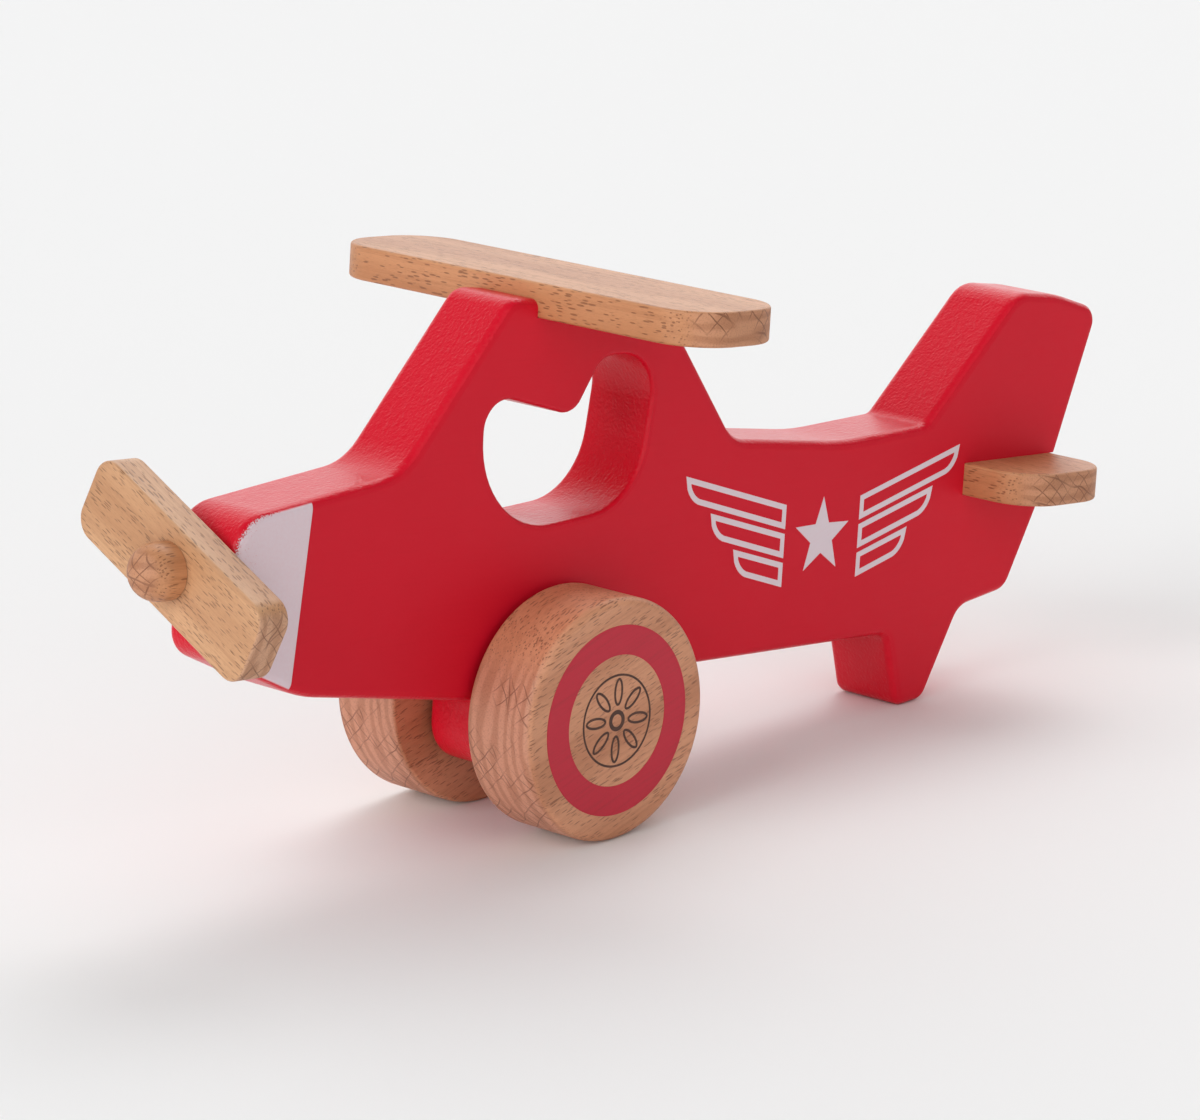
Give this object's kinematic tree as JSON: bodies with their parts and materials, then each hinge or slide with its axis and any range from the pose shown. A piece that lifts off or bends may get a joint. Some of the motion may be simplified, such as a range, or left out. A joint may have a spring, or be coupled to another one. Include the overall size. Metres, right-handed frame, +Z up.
{
  "type": "wooden toy airplane",
  "caption": "Wooden toy airplane with rolling wheels, a spinning bar propeller, let-in wing and tailplane, finger window and tail skid.",
  "frame": {"origin": "on the floor, below the middle of the overall length and width", "axes": "+X forward to the propeller, +Y to port (left), +Z up; the airplane stands nose-up 6.3 degrees on its wheels and tail skid"},
  "size_m": [0.2698, 0.106, 0.1119],
  "materials": {
    "red_paint": "satin water-based paint over beech, white painted nose panel and emblem",
    "wing_beech": "sanded, clear water-based lacquer",
    "tail_beech": "sanded, clear water-based lacquer",
    "propeller_beech": "sanded, clear water-based lacquer",
    "peg_beech": "sanded, clear water-based lacquer",
    "wheel_beech": "sanded, clear water-based lacquer",
    "dowel_wood": "sanded, clear water-based lacquer"
  },
  "bodies": {
    "airframe": {"fuselage": "red_paint", "wing": "wing_beech", "tailplane": "tail_beech", "propeller_peg": "peg_beech", "wing_dowel_front": "dowel_wood", "wing_dowel_rear": "dowel_wood"},
    "propeller": {"propeller": "propeller_beech"},
    "wheelset": {"axle": "dowel_wood", "wheel_left": "wheel_beech", "wheel_right": "wheel_beech"}
  },
  "joints": [
    {"name": "propeller_spin", "type": "hinge", "parent": "airframe", "child": "propeller", "pos_m": [0.12272, 0, 0.06971], "axis": [0.994, 0, 0.1097], "continuous": true},
    {"name": "wheel_roll", "type": "hinge", "parent": "airframe", "child": "wheelset", "pos_m": [0.0349, 0, 0.025], "axis": [0, 1, 0], "continuous": true}
  ]
}
